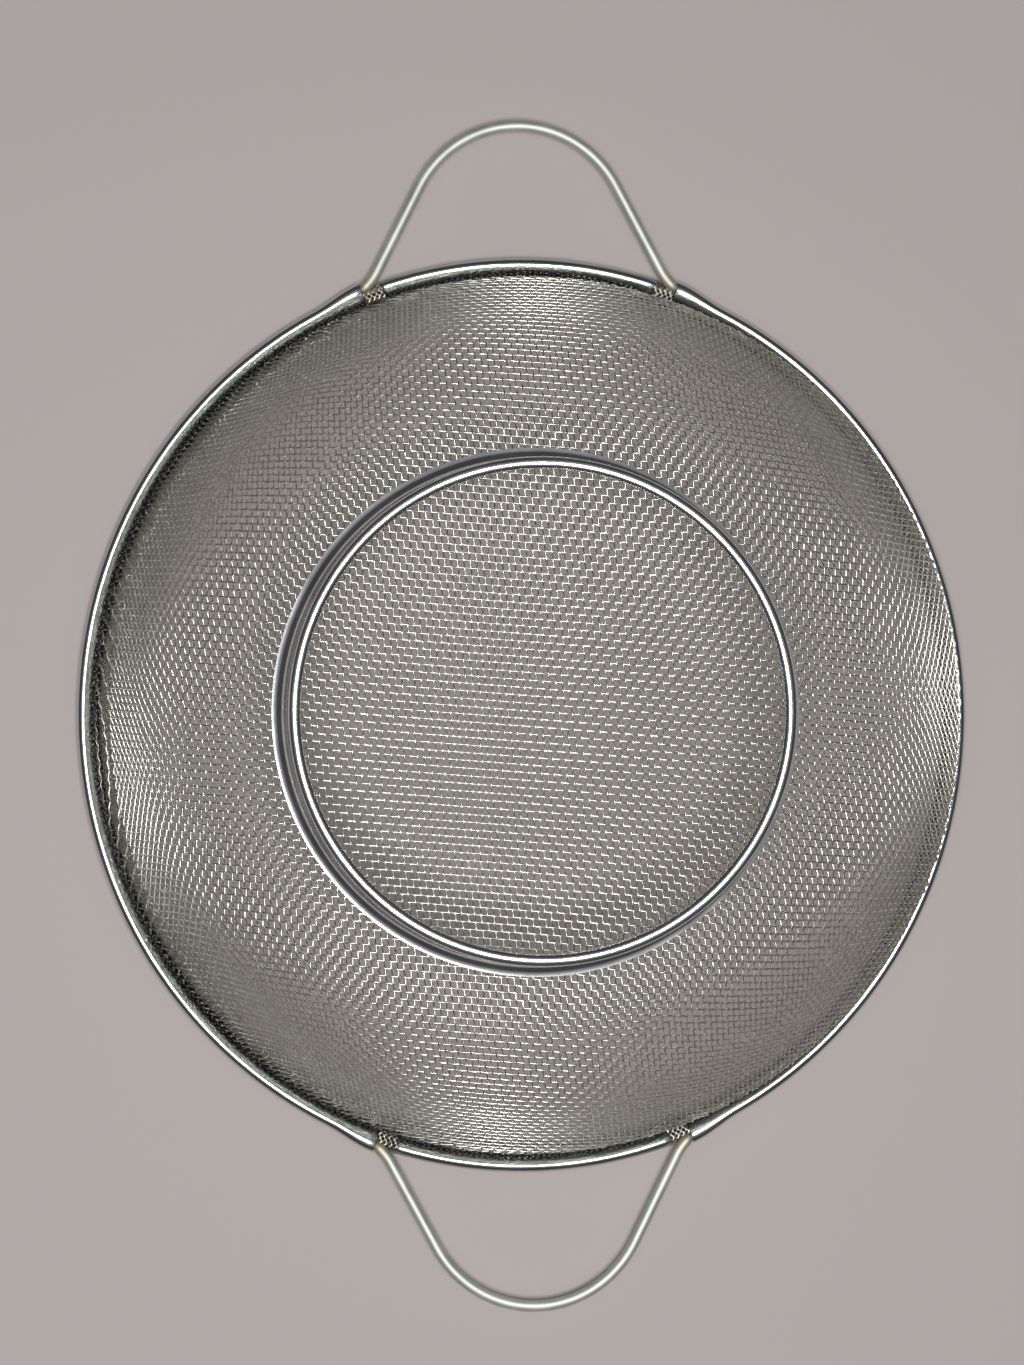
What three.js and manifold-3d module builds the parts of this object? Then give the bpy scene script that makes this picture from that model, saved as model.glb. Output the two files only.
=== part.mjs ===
// Rice washing colander: a bowl of woven steel wire cloth on a flared foot ring, its edge folded round
// a rim wire and covered by a rolled sheet band, with two bent wire loop handles.
// It stands upside down, rim on the table and foot ring up. Millimetres, +Z up, bowl axis on Z,
// table at Z = 0, handles along Y.
import * as THREE from 'three';
import { mergeVertices } from 'three/addons/utils/BufferGeometryUtils.js';
import Module from 'manifold-3d';

// Bowl and foot
const RIM_RADIUS = 120;
const RIM_STRETCH = 1.75; // the rim is this much longer along the handles and narrower across them
const BOWL_SHIFT = 3.2; // the wall stands this much off-centre in the rim, towards X
const FOOT_BASE_RADIUS = 66.2; // where the foot ring stands on the cloth
const FOOT_BASE_HEIGHT = 52; // the cloth's height there
const CROWN_SLOPE = 9; // slopes of the bowl in degrees: at the foot ring, on the shoulder, at the rim
const SHOULDER_SLOPE = 45;
const WALL_SLOPE = 84;
const FOOT_RING_HEIGHT = 18.5; // from the cloth to the crown of the rolled bead
const BEAD_CIRCLE_RADIUS = 61.7;
const BEAD_RADIUS = 1.6;
const FOOT_SHEET = 0.6;
const FOOT_FLARE = 3.8; // the wall turns out at its base to lie on the cloth

// Rim
const RIM_WIRE_RADIUS = 1.2;
const HEM_THICKNESS = 0.6; // the cloth's edge, folded round the rim wire
const HEM_COLLAR = 4.4; // how far the doubled cloth stands above the rim wire's middle
const HEM_EDGE = 70; // where round the rim wire the folded edge ends, degrees from outwards
const BAND_SHEET = 0.5;
const BAND_CORNER = 1.2; // outside radius of the rolled band's corners
const BAND_CROWN = 3.5; // outside radius from its crest over to the flange
const FLANGE_SLOPE = 30; // the band's top flange falls towards the cloth, degrees
const FLANGE_REACH = 1.4; // the flange's free edge, inwards from the rim wire's middle
const NOTCH_WIDTH = 6; // gap between two lengths of band, where a handle leg crosses the rim
const BAND_BELL = 1.6; // the long bands widen outwards at their ends, beside the handle legs
const BAND_BELL_LENGTH = 14;

// Handles
const HANDLE_WIRE_RADIUS = 1.5;
const HANDLE_HALF_ANGLE = 19.5; // from the middle of a handle to each of its notches, degrees
const HANDLE_PLACES = { back: 90.8, front: 271.2 }; // the handles' middles round the rim, degrees from X
const HANDLE_REACH = 35; // the loop's crown beyond the rim
const LEG_SLOPE = 62; // of the straight legs against the rim's tangent, degrees
const FLARE_RADIUS = 16; // the legs bend out where they meet the rim
const FLARE_SLOPE = 44;
const LEG_SEAT = 40; // where round the hem's section a leg lies on it, degrees from outwards

// Wire cloth. The real cloth has a wire about every 1.6 by 2 mm, and each wire here stands for several.
const PITCH_ALONG_WARP = 14;
const PITCH_ALONG_WEFT = 17;
const CLOTH_ANGLES = { warp: -4.3, weft: 97 }; // the middle wires of each set against X, degrees
const CLOTH_WIRE_WIDTH = 1.3;
const CLOTH_WIRE_THICKNESS = 0.9;
const CROSSING_MARGIN = 3.2; // no crossing comes closer to the collar than this
const TIP_DEPTH = 1; // how far the wires run down into the collar

// Fits and facets
const CLEARANCE = 0.3;
const SIDES_AROUND = 44;
const SIDES_CORNER = 3;
const SIDES_HEM = 7;
const SIDES_BEAD = 9;
const SIDES_FLARE = 4;
const SIDES_WIRE = 10;
const SIDES_RIM_WIRE = 8;
const STEPS_HANDLE = 32;

const rad = THREE.MathUtils.degToRad;
const [CROWN, SHOULDER, WALL] = [CROWN_SLOPE, SHOULDER_SLOPE, WALL_SLOPE].map(rad);
const HEM_INSIDE = RIM_WIRE_RADIUS + CLEARANCE;
const HEM_OUTSIDE = HEM_INSIDE + HEM_THICKNESS;
const HEM_MIDDLE = HEM_INSIDE + HEM_THICKNESS / 2;
const BAND_INSIDE = HEM_OUTSIDE + CLEARANCE;
const BAND_OUTSIDE = BAND_INSIDE + BAND_SHEET;
const RIM_CENTRE = new THREE.Vector2(RIM_RADIUS - BAND_OUTSIDE, BAND_OUTSIDE); // radius, height
const FOOT_TOP = FOOT_BASE_HEIGHT + FOOT_RING_HEIGHT;
const COLLAR_TOP = RIM_CENTRE.y + HEM_COLLAR;

// Materials
const steel = (color, roughness) => new THREE.MeshStandardMaterial({ color, roughness, metalness: 1 });
const clothSteel = steel(0xb9b2a6, 0.35);
const polishedSteel = steel(0xd4d6d6, 0.12);
const satinWire = steel(0xc6c6c0, 0.3);

// Points along an arc, from one angle to another in degrees
const arcPoints = (centre, radius, from, to, steps) => Array.from({ length: steps + 1 }, (_, k) => {
  const angle = rad(from + ((to - from) * k) / steps);
  return new THREE.Vector2(centre.x + radius * Math.cos(angle), centre.y + radius * Math.sin(angle));
});

// Points of a regular polygon's corners round a section, its flats at the given radius
const onSection = (centre, flatRadius, angle, sides) => {
  const radius = flatRadius / Math.cos(Math.PI / sides);
  return new THREE.Vector2(Math.cos(rad(angle)), Math.sin(rad(angle))).multiplyScalar(radius).add(centre);
};

// The rim's stretch along Y, full at the table and gone at the foot ring
function stretchRim(geometry) {
  const position = geometry.attributes.position;
  for (let k = 0; k < position.count; k++) {
    const fade = THREE.MathUtils.clamp(1 - position.getZ(k) / FOOT_BASE_HEIGHT, 0, 1);
    const share = (fade * RIM_STRETCH) / RIM_RADIUS;
    position.setX(k, position.getX(k) * (1 - share));
    position.setY(k, position.getY(k) * (1 + share));
  }
  return geometry;
}

// The wall's shift along X, from nothing at the collar to full on the wall and to nothing at the foot ring
function shiftBowl(geometry) {
  const position = geometry.attributes.position;
  for (let k = 0; k < position.count; k++) {
    const height = position.getZ(k);
    const above = THREE.MathUtils.smoothstep(height, COLLAR_TOP, COLLAR_TOP + HEM_COLLAR * 2);
    const below = 1 - THREE.MathUtils.smoothstep(height, FOOT_BASE_HEIGHT * 0.6, FOOT_BASE_HEIGHT);
    position.setX(k, position.getX(k) + BOWL_SHIFT * above * below);
  }
  return geometry;
}

function bareGeometry(geometry) {
  const bare = geometry.index ? geometry.toNonIndexed() : geometry.clone();
  bare.deleteAttribute('normal');
  bare.deleteAttribute('uv');
  return mergeVertices(bare, 1e-4);
}

// Turns the faces outwards where they point in
function facingOut(geometry) {
  const { position } = geometry.attributes;
  const index = geometry.index.array;
  const [a, b, c] = [new THREE.Vector3(), new THREE.Vector3(), new THREE.Vector3()];
  let volume = 0;
  for (let k = 0; k < index.length; k += 3) {
    a.fromBufferAttribute(position, index[k]);
    b.fromBufferAttribute(position, index[k + 1]);
    c.fromBufferAttribute(position, index[k + 2]);
    volume += a.dot(b.cross(c));
  }
  if (volume < 0) {
    for (let k = 0; k < index.length; k += 3) {
      [index[k], index[k + 1]] = [index[k + 1], index[k]];
    }
  }
  return geometry;
}

// A closed outline of (radius, height) points, turned about Z
function revolve(outline) {
  const turned = new THREE.LatheGeometry([...outline, outline[0]], SIDES_AROUND, Math.PI / 2);
  return facingOut(bareGeometry(turned.rotateX(Math.PI / 2)));
}

// What is left of a radius at an angle about Z when a turned piece is made of flats from corner to corner
function flatShare(angle) {
  const flat = (2 * Math.PI) / SIDES_AROUND;
  const fromMiddle = THREE.MathUtils.euclideanModulo(angle, flat) - flat / 2;
  return Math.cos(flat / 2) / Math.cos(fromMiddle);
}

// Outline of a sheet of the given thickness whose middle follows a line of points
function sheetOutline(middle, thickness) {
  const side = (sign) =>
    middle.map((point, k) => {
      const before = middle[Math.max(k - 1, 0)];
      const after = middle[Math.min(k + 1, middle.length - 1)];
      const into = point.clone().sub(before).normalize();
      const out = after.clone().sub(point).normalize();
      const along = into.clone().add(out).normalize();
      const corner = k === 0 || k === middle.length - 1 ? 1 : along.dot(into);
      const reach = (sign * thickness) / 2 / corner;
      return new THREE.Vector2(point.x - along.y * reach, point.y + along.x * reach);
    });
  return [...side(1), ...side(-1).reverse()];
}

// The rolled band's flange lies tangent to the hem's clearance, and its free edge sets how far the collar
// leans in to stay clear of it. Radius of the collar's middle at a height.
const flangeTurn = rad(FLANGE_SLOPE);
const flangeEdge = new THREE.Vector2(
  RIM_CENTRE.x - FLANGE_REACH,
  RIM_CENTRE.y + (BAND_OUTSIDE - FLANGE_REACH * Math.sin(flangeTurn)) / Math.cos(flangeTurn));
function collarAt(height) {
  const foot = RIM_CENTRE.x - HEM_MIDDLE;
  const clear = flangeEdge.x - CLEARANCE - HEM_THICKNESS / 2;
  const lean = Math.max((foot - clear) / (flangeEdge.y - RIM_CENTRE.y), 1 / Math.tan(WALL));
  return foot - lean * (height - RIM_CENTRE.y);
}

// The bowl's section: three tangent arcs from the axis over the foot ring down to the collar
const WALL_END = new THREE.Vector2(collarAt(COLLAR_TOP - TIP_DEPTH), COLLAR_TOP - TIP_DEPTH);
const crownRadius = FOOT_BASE_RADIUS / Math.sin(CROWN);
const [shoulderRadius, wallRadius] = (() => {
  const across = WALL_END.x - FOOT_BASE_RADIUS;
  const down = FOOT_BASE_HEIGHT - WALL_END.y;
  const shoulderAcross = Math.sin(SHOULDER) - Math.sin(CROWN);
  const shoulderDown = Math.cos(CROWN) - Math.cos(SHOULDER);
  const wallAcross = Math.sin(WALL) - Math.sin(SHOULDER);
  const wallDown = Math.cos(SHOULDER) - Math.cos(WALL);
  const determinant = shoulderAcross * wallDown - wallAcross * shoulderDown;
  return [
    (across * wallDown - wallAcross * down) / determinant,
    (shoulderAcross * down - across * shoulderDown) / determinant,
  ];
})();
const arcs = [
  { from: 0, to: CROWN, radius: crownRadius },
  { from: CROWN, to: SHOULDER, radius: shoulderRadius },
  { from: SHOULDER, to: WALL, radius: wallRadius },
];
const WALL_LENGTH = arcs.reduce((sum, { from, to, radius }) => sum + (to - from) * radius, 0);

// Radius, height and slope of the cloth at a distance along its section from the axis
function bowlAt(distance) {
  let left = distance;
  const place = { r: 0, z: FOOT_BASE_HEIGHT + crownRadius * (1 - Math.cos(CROWN)), slope: 0 };
  for (const { from, to, radius } of arcs) {
    const turn = Math.min(left / radius, to - from);
    place.r += radius * (Math.sin(from + turn) - Math.sin(from));
    place.z -= radius * (Math.cos(from) - Math.cos(from + turn));
    place.slope = from + turn;
    left = Math.max(left - (to - from) * radius, 0);
  }
  place.r += left * Math.cos(WALL);
  place.z -= left * Math.sin(WALL);
  return place;
}

function onBowl(distance, angle) {
  const { r, z } = bowlAt(distance);
  return new THREE.Vector3(r * Math.cos(angle), r * Math.sin(angle), z);
}

// Drapes the cloth: a net whose wires keep their length between crossings, so that its square cells
// shear as the bowl curves. Two wires run straight over the middle, and each other crossing lies one
// pitch from the two before it.
function drapeNet() {
  const crossings = new Map();
  const reach = WALL_LENGTH + 2 * Math.max(PITCH_ALONG_WARP, PITCH_ALONG_WEFT);
  const key = (i, j) => `${i},${j}`;
  const put = (i, j, distance, angle) => {
    crossings.set(key(i, j), { i, j, distance, angle, point: onBowl(distance, angle) });
  };
  const warpCount = Math.floor(reach / PITCH_ALONG_WARP);
  const weftCount = Math.floor(reach / PITCH_ALONG_WEFT);
  for (let i = -warpCount; i <= warpCount; i++) {
    put(i, 0, Math.abs(i) * PITCH_ALONG_WARP, rad(CLOTH_ANGLES.warp) + (i < 0 ? Math.PI : 0));
  }
  for (let j = -weftCount; j <= weftCount; j++) {
    put(0, j, Math.abs(j) * PITCH_ALONG_WEFT, rad(CLOTH_ANGLES.weft) + (j < 0 ? Math.PI : 0));
  }
  for (const [across, along] of [[1, 1], [-1, 1], [-1, -1], [1, -1]]) {
    for (let m = 1; m <= warpCount; m++) {
      for (let n = 1; n <= weftCount; n++) {
        const [i, j] = [m * across, n * along];
        const besideWarp = crossings.get(key(i - across, j));
        const besideWeft = crossings.get(key(i, j - along));
        const corner = crossings.get(key(i - across, j - along));
        if (!besideWarp || !besideWeft || !corner) continue;
        if (besideWarp.distance > reach && besideWeft.distance > reach) continue;
        const found = crossingFrom(besideWarp, besideWeft, corner);
        if (found) put(i, j, found.distance, found.angle);
      }
    }
  }
  return crossings;
}

// The point of the bowl at one pitch from each of two crossings, across from a third, by Newton steps
function crossingFrom(besideWarp, besideWeft, corner) {
  const guess = besideWarp.point.clone().add(besideWeft.point).sub(corner.point);
  let angle = Math.atan2(guess.y, guess.x);
  let distance = Math.max(besideWarp.distance, besideWeft.distance);
  for (let step = 0; step < 40; step++) {
    const { r, slope } = bowlAt(distance);
    const point = onBowl(distance, angle);
    const alongSection = new THREE.Vector3(
      Math.cos(slope) * Math.cos(angle), Math.cos(slope) * Math.sin(angle), -Math.sin(slope));
    const around = new THREE.Vector3(-r * Math.sin(angle), r * Math.cos(angle), 0);
    const fromWarp = point.clone().sub(besideWarp.point);
    const fromWeft = point.clone().sub(besideWeft.point);
    const errorWarp = fromWarp.lengthSq() - PITCH_ALONG_WARP ** 2;
    const errorWeft = fromWeft.lengthSq() - PITCH_ALONG_WEFT ** 2;
    if (Math.abs(errorWarp) + Math.abs(errorWeft) < 1e-9) return { distance, angle };
    const [a, b] = [2 * fromWarp.dot(alongSection), 2 * fromWarp.dot(around)];
    const [c, d] = [2 * fromWeft.dot(alongSection), 2 * fromWeft.dot(around)];
    const determinant = a * d - b * c;
    const stepDistance = (errorWarp * d - errorWeft * b) / determinant;
    const stepAngle = (errorWeft * a - errorWarp * c) / determinant;
    const limit = Math.max(1, Math.hypot(stepDistance, stepAngle * r) / (0.4 * PITCH_ALONG_WARP));
    distance -= stepDistance / limit;
    angle -= stepAngle / limit;
  }
  return null;
}

// The woven net as one skin. At each crossing the two wires lie one on the other, and the wire that is
// over at one crossing is under at the next. Wires that run out end in the collar.
function weave(crossings) {
  const vertices = [];
  const faces = [];
  const addVertex = (point) => vertices.push(point) - 1;
  const addQuad = (a, b, c, d) => faces.push(a, b, c, a, c, d);
  const inside = [...crossings.values()].filter(({ distance }) => distance < WALL_LENGTH - CROSSING_MARGIN);
  const kept = new Map(inside.map((crossing) => [`${crossing.i},${crossing.j}`, crossing]));
  const wires = { warp: [1, 0], weft: [0, 1] };
  const neighbour = ({ i, j }, wire, sign) => `${i + sign * wires[wire][0]},${j + sign * wires[wire][1]}`;

  for (const crossing of inside) {
    const { slope } = bowlAt(crossing.distance);
    const { angle, point } = crossing;
    crossing.normal = new THREE.Vector3(
      Math.sin(slope) * Math.cos(angle), Math.sin(slope) * Math.sin(angle), Math.cos(slope));
    for (const wire of ['warp', 'weft']) {
      const ahead = crossings.get(neighbour(crossing, wire, 1))?.point ?? point;
      const behind = crossings.get(neighbour(crossing, wire, -1))?.point ?? point;
      crossing[wire] = ahead.clone().sub(behind).projectOnPlane(crossing.normal).normalize();
    }
    crossing.warpOver = (crossing.i + crossing.j) % 2 === 0;
    const shear = crossing.warp.clone().cross(crossing.weft).length();
    const half = CLOTH_WIRE_WIDTH / 2 / shear;
    // corner[level][warp side][weft side]: under side, middle and upper side of the crossing
    crossing.corner = [-1, 0, 1].map((level) => [-1, 1].map((p) => [-1, 1].map((q) => addVertex(
      point.clone()
        .addScaledVector(crossing.warp, p * half)
        .addScaledVector(crossing.weft, q * half)
        .addScaledVector(crossing.normal, level * CLOTH_WIRE_THICKNESS)))));
    const [under, , upper] = crossing.corner;
    addQuad(upper[0][0], upper[1][0], upper[1][1], upper[0][1]);
    addQuad(under[0][0], under[0][1], under[1][1], under[1][0]);
  }

  // The four corners of a crossing's side, upper or lower half, always from the same edge of the wire
  const sideOf = ({ corner }, wire, sign, over) => {
    const [low, high] = over ? [1, 2] : [0, 1];
    const s = sign > 0 ? 1 : 0;
    const at = (level, q) => (wire === 'warp' ? corner[level][s][q] : corner[level][q][s]);
    return [at(low, 0), at(low, 1), at(high, 1), at(high, 0)];
  };
  // Those corners run one way round seen from outside on two of the four sides, and the other way on two
  const addFacing = (ring, rightHanded) => addQuad(...(rightHanded ? ring : ring.toReversed()));
  const addWire = (start, end, rightHanded) => {
    for (let k = 0; k < 4; k++) {
      const m = (k + 1) % 4;
      addFacing([start[k], start[m], end[m], end[k]], rightHanded);
    }
  };

  for (const crossing of inside) {
    for (const wire of ['warp', 'weft']) {
      const over = crossing.warpOver === (wire === 'warp');
      for (const sign of [1, -1]) {
        const rightHanded = (wire === 'warp') === sign > 0;
        const start = sideOf(crossing, wire, sign, over);
        const next = kept.get(neighbour(crossing, wire, sign));
        const beyond = crossings.get(neighbour(crossing, wire, sign));
        addFacing(sideOf(crossing, wire, sign, !over), rightHanded);
        if (next && sign > 0) addWire(start, sideOf(next, wire, -1, !over), rightHanded);
        if (next) continue;
        if (!beyond) {
          addFacing(start, rightHanded);
          continue;
        }
        // the wire runs on to the collar and thins to a tip inside it
        const share = (WALL_LENGTH - crossing.distance) / (beyond.distance - crossing.distance);
        let turn = beyond.angle - crossing.angle;
        turn -= 2 * Math.PI * Math.round(turn / (2 * Math.PI));
        const angle = crossing.angle + share * turn;
        const tip = onBowl(WALL_LENGTH, angle);
        tip.multiply(new THREE.Vector3(flatShare(angle), flatShare(angle), 1));
        const normal = new THREE.Vector3(
          Math.sin(WALL) * Math.cos(angle), Math.sin(WALL) * Math.sin(angle), Math.cos(WALL));
        const along = tip.clone().sub(crossing.point).projectOnPlane(normal).normalize();
        const across = normal.clone().cross(along).multiplyScalar(rightHanded ? 1 : -1);
        const end = [[-1, -1], [1, -1], [1, 1], [-1, 1]].map(([p, q]) => addVertex(
          tip.clone()
            .addScaledVector(across, (p * CLOTH_WIRE_WIDTH) / 2)
            .addScaledVector(normal, (q * HEM_THICKNESS) / 6)));
        addWire(start, end, rightHanded);
        addFacing(end, rightHanded);
      }
    }
  }
  const geometry = new THREE.BufferGeometry().setFromPoints(vertices);
  geometry.setIndex(faces);
  return facingOut(geometry);
}

// Closed meshes joined to one body
const wasm = await Module();
wasm.setup();
const toSolid = (geometry) => new wasm.Manifold(new wasm.Mesh({
  numProp: 3,
  vertProperties: new Float32Array(geometry.attributes.position.array),
  triVerts: new Uint32Array(geometry.index.array),
}));
function fromSolid(solid) {
  const { vertProperties, triVerts } = solid.getMesh();
  const geometry = new THREE.BufferGeometry();
  geometry.setAttribute('position', new THREE.BufferAttribute(vertProperties, 3));
  geometry.setIndex(new THREE.BufferAttribute(triVerts, 1));
  return geometry;
}

const colander = new THREE.Group();
colander.name = 'rice_washing_colander';
function addPiece(name, geometry, material) {
  const mesh = new THREE.Mesh(stretchRim(geometry), material);
  mesh.name = name;
  colander.add(mesh);
}

// Mesh bowl: the woven net and its hem, which runs down as a collar and folds under and round the rim wire
const hemLine = [new THREE.Vector2(collarAt(COLLAR_TOP), COLLAR_TOP)];
hemLine.push(...arcPoints(RIM_CENTRE, HEM_MIDDLE, -180, HEM_EDGE, SIDES_HEM));
const hem = revolve(sheetOutline(hemLine, HEM_THICKNESS));
addPiece('mesh_bowl', shiftBowl(fromSolid(toSolid(weave(drapeNet())).add(toSolid(hem)))), clothSteel);

// Rim wire, inside the hem
const rimWireOutline = Array.from({ length: SIDES_RIM_WIRE }, (_, k) => new THREE.Vector2(
  RIM_CENTRE.x + RIM_WIRE_RADIUS * Math.cos((2 * Math.PI * k) / SIDES_RIM_WIRE),
  RIM_CENTRE.y + RIM_WIRE_RADIUS * Math.sin((2 * Math.PI * k) / SIDES_RIM_WIRE)));
addPiece('rim_wire', revolve(rimWireOutline), satinWire);

// Rim bands: sheet rolled over the hem, in four lengths between the notches
const cornerMiddle = BAND_CORNER - BAND_SHEET / 2;
const cornerReach = BAND_OUTSIDE - BAND_CORNER;
const crownMiddle = BAND_CROWN - BAND_SHEET / 2;
const crownHeight = (BAND_OUTSIDE - BAND_CROWN + cornerReach * Math.sin(flangeTurn)) / Math.cos(flangeTurn);
const crown = new THREE.Vector2(RIM_CENTRE.x + cornerReach, RIM_CENTRE.y + crownHeight);
const topCorner = new THREE.Vector2(crown.x, crown.y + BAND_CROWN - BAND_CORNER);
const [outerCorner, innerCorner] = [cornerReach, -cornerReach]
  .map((across) => new THREE.Vector2(RIM_CENTRE.x + across, RIM_CENTRE.y - cornerReach));
const flangeFree = new THREE.Vector2(Math.sin(flangeTurn), -Math.cos(flangeTurn))
  .multiplyScalar(BAND_SHEET / 2)
  .add(flangeEdge);
const bandLine = [
  flangeFree,
  ...arcPoints(crown, crownMiddle, 90 + FLANGE_SLOPE, 90, SIDES_CORNER),
  ...arcPoints(topCorner, cornerMiddle, 90, 0, SIDES_CORNER).slice(1),
  ...arcPoints(outerCorner, cornerMiddle, 0, -90, SIDES_CORNER),
  ...arcPoints(innerCorner, cornerMiddle, -90, -180, SIDES_CORNER),
  new THREE.Vector2(innerCorner.x - cornerMiddle, RIM_CENTRE.y),
];
const bandOutline = sheetOutline(bandLine, BAND_SHEET);

// A length of band from one angle to another about Z. It keeps to the flats of the turned pieces.
function rimBand(from, to, bell) {
  const flat = 360 / SIDES_AROUND;
  const stations = [from];
  for (let angle = Math.floor(from / flat + 1) * flat; angle < to; angle += flat) stations.push(angle);
  stations.push(to);
  const bellAngle = THREE.MathUtils.radToDeg(BAND_BELL_LENGTH / RIM_RADIUS);
  if (bell) stations.push(from + bellAngle, from + bellAngle / 2, to - bellAngle, to - bellAngle / 2);
  stations.sort((a, b) => a - b);
  const unique = stations.filter((angle, k) => k === 0 || angle - stations[k - 1] > 0.3);
  const rings = unique.map((angle) => {
    const near = bell ? Math.min(angle - from, to - angle) / bellAngle : 1;
    const widening = BAND_BELL * (1 - THREE.MathUtils.smoothstep(near, 0, 1));
    return bandOutline.map((point) => {
      const outwards = (point.x - RIM_CENTRE.x + BAND_OUTSIDE) / (2 * BAND_OUTSIDE);
      const r = (point.x + widening * outwards) * flatShare(rad(angle));
      return new THREE.Vector3(r * Math.cos(rad(angle)), r * Math.sin(rad(angle)), point.y);
    });
  });
  return facingOut(loft(rings, bandOutline));
}

// Skin over rings of points, closed at both ends by the given flat outline
function loft(rings, outline) {
  const count = outline.length;
  const faces = [];
  for (let ring = 0; ring + 1 < rings.length; ring++) {
    for (let k = 0; k < count; k++) {
      const [a, b] = [ring * count + k, ring * count + ((k + 1) % count)];
      faces.push(a, b, b + count, a, b + count, a + count);
    }
  }
  const last = (rings.length - 1) * count;
  const clockwise = THREE.ShapeUtils.isClockWise(outline);
  const flat = THREE.ShapeUtils.triangulateShape(clockwise ? outline.toReversed() : outline, []);
  for (const [a, b, c] of flat) {
    const [p, q, r] = clockwise ? [count - 1 - a, count - 1 - c, count - 1 - b] : [a, b, c];
    faces.push(p, r, q, last + p, last + q, last + r);
  }
  const geometry = new THREE.BufferGeometry().setFromPoints(rings.flat());
  geometry.setIndex(faces);
  return geometry;
}

const halfNotch = THREE.MathUtils.radToDeg(NOTCH_WIDTH / 2 / RIM_RADIUS);
const { back: backMiddle, front: frontMiddle } = HANDLE_PLACES;
const shortHalf = HANDLE_HALF_ANGLE - halfNotch;
const longStart = HANDLE_HALF_ANGLE + halfNotch;
const rightEnd = backMiddle + 360 - longStart;
addPiece('rim_band_back', rimBand(backMiddle - shortHalf, backMiddle + shortHalf, false), polishedSteel);
addPiece('rim_band_left', rimBand(backMiddle + longStart, frontMiddle - longStart, true), polishedSteel);
addPiece('rim_band_front', rimBand(frontMiddle - shortHalf, frontMiddle + shortHalf, false), polishedSteel);
addPiece('rim_band_right', rimBand(frontMiddle + longStart, rightEnd, true), polishedSteel);

// Handles: each leg starts on the hem in its notch, bends to a straight run and meets a round arch
const legSeat = HEM_OUTSIDE + CLEARANCE + HANDLE_WIRE_RADIUS;
const legRadius = RIM_CENTRE.x + legSeat * Math.cos(rad(LEG_SEAT));
const handleHeight = RIM_CENTRE.y + legSeat * Math.sin(rad(LEG_SEAT));

// The handle's line in its own plane: x along the rim, y outwards from the bowl's axis
class HandleLine extends THREE.Curve {
  constructor() {
    super();
    const [slope, flare] = [rad(LEG_SLOPE), rad(FLARE_SLOPE)];
    // the leg's square end stops short of the long band's end
    const endAngle = rad(HANDLE_HALF_ANGLE) + (NOTCH_WIDTH / 2 - HANDLE_WIRE_RADIUS) / legRadius;
    const end = new THREE.Vector2(legRadius * Math.sin(endAngle), legRadius * Math.cos(endAngle));
    const across = end.x - FLARE_RADIUS * (Math.sin(slope) - Math.sin(flare));
    const down = RIM_RADIUS + HANDLE_REACH - end.y - FLARE_RADIUS * (Math.cos(flare) - Math.cos(slope));
    const spread = 1 - Math.cos(slope);
    this.arch = (across * Math.sin(slope) - down * Math.cos(slope)) / spread;
    this.leg = (down * Math.sin(slope) - across * spread) / spread;
    this.slope = slope;
    this.archLength = this.arch * slope;
    this.flareLength = FLARE_RADIUS * (slope - flare);
    this.half = this.archLength + this.leg + this.flareLength;
  }

  getPoint(t, target = new THREE.Vector3()) {
    const along = (2 * t - 1) * this.half;
    const far = Math.abs(along);
    const turn = Math.min(far, this.archLength) / this.arch;
    const straight = THREE.MathUtils.clamp(far - this.archLength, 0, this.leg);
    const bend = Math.max(far - this.archLength - this.leg, 0) / FLARE_RADIUS;
    const x = this.arch * Math.sin(turn) + straight * Math.cos(this.slope)
      + FLARE_RADIUS * (Math.sin(this.slope) - Math.sin(this.slope - bend));
    const drop = this.arch * (1 - Math.cos(turn)) + straight * Math.sin(this.slope)
      + FLARE_RADIUS * (Math.cos(this.slope - bend) - Math.cos(this.slope));
    return target.set(Math.sign(along) * x, RIM_RADIUS + HANDLE_REACH - drop, handleHeight);
  }
}

const wireSection = new THREE.Shape(Array.from({ length: SIDES_WIRE }, (_, k) => new THREE.Vector2(
  HANDLE_WIRE_RADIUS * Math.cos((2 * Math.PI * k) / SIDES_WIRE),
  HANDLE_WIRE_RADIUS * Math.sin((2 * Math.PI * k) / SIDES_WIRE))));
for (const [name, middle] of [['handle_back', backMiddle], ['handle_front', frontMiddle]]) {
  const settings = { steps: STEPS_HANDLE, extrudePath: new HandleLine() };
  const wire = new THREE.ExtrudeGeometry(wireSection, settings);
  addPiece(name, facingOut(bareGeometry(wire.rotateZ(rad(middle - 90)))), satinWire);
}

// Foot ring: a sheet wall that flares out to stand on the cloth, its free edge rolled inwards to a bead
const beadMiddle = BEAD_RADIUS - FOOT_SHEET / 2;
const beadCentre = new THREE.Vector2(BEAD_CIRCLE_RADIUS, FOOT_TOP - BEAD_RADIUS);
const footBottom = FOOT_BASE_HEIGHT + CLOTH_WIRE_THICKNESS + 2 * CLEARANCE;
const flareCentre = new THREE.Vector2(
  FOOT_BASE_RADIUS + FOOT_FLARE * Math.sin(CROWN), footBottom + FOOT_FLARE * Math.cos(CROWN));
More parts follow.
